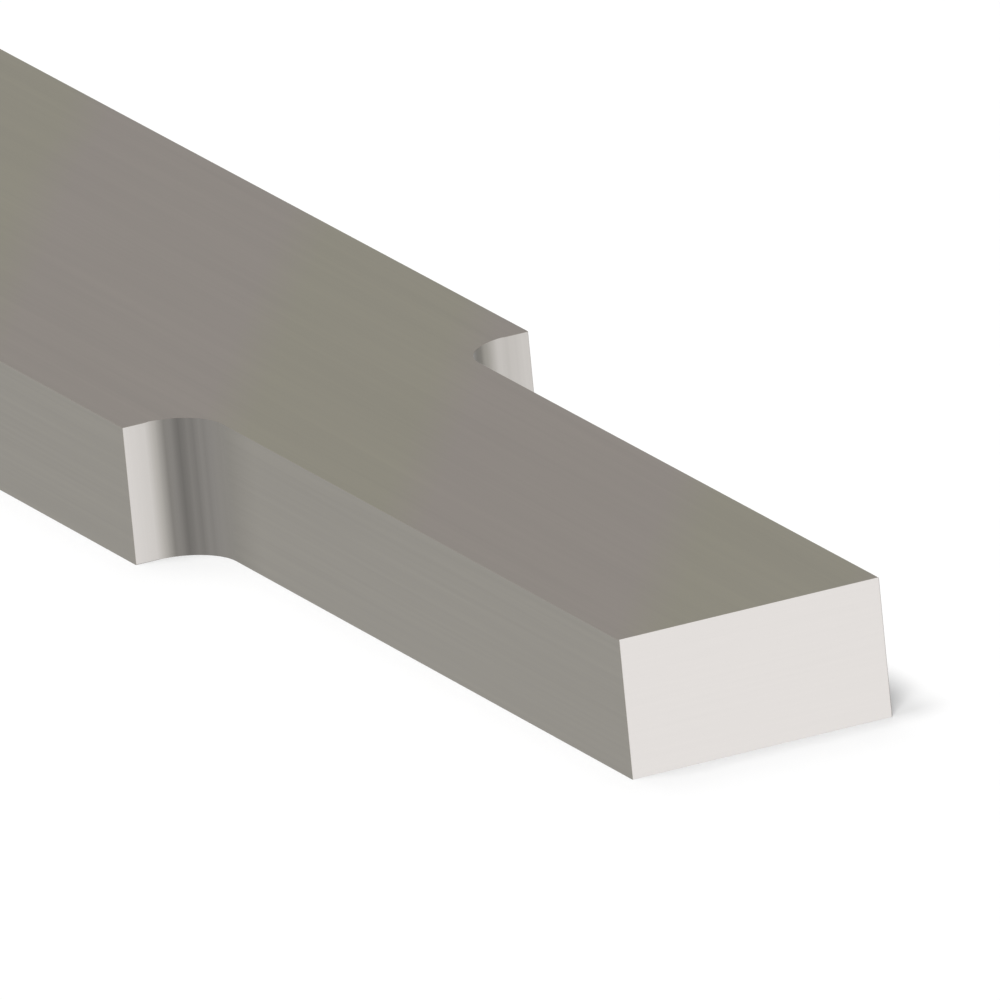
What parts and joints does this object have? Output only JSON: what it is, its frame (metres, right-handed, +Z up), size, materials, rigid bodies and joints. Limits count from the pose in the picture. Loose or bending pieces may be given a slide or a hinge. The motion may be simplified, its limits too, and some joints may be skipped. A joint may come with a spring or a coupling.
{
  "type": "skew chisel",
  "caption": "Unhandled skew chisel blade for wood turning: flat steel bar with a skewed, double-bevelled cutting edge and a shouldered flat tang for a handle.",
  "frame": {"origin": "on the lower face, under the middle of the blade's overall box", "axes": "+X along the bar towards the end of the tang, +Y across the width towards the long point of the edge, +Z up through the thickness"},
  "size_m": [0.25, 0.025, 0.008],
  "materials": {
    "ground_steel": "satin, finely ground lengthways, with milled corners behind the shoulders"
  },
  "bodies": {
    "root": {"blade": "ground_steel"}
  },
  "joints": []
}
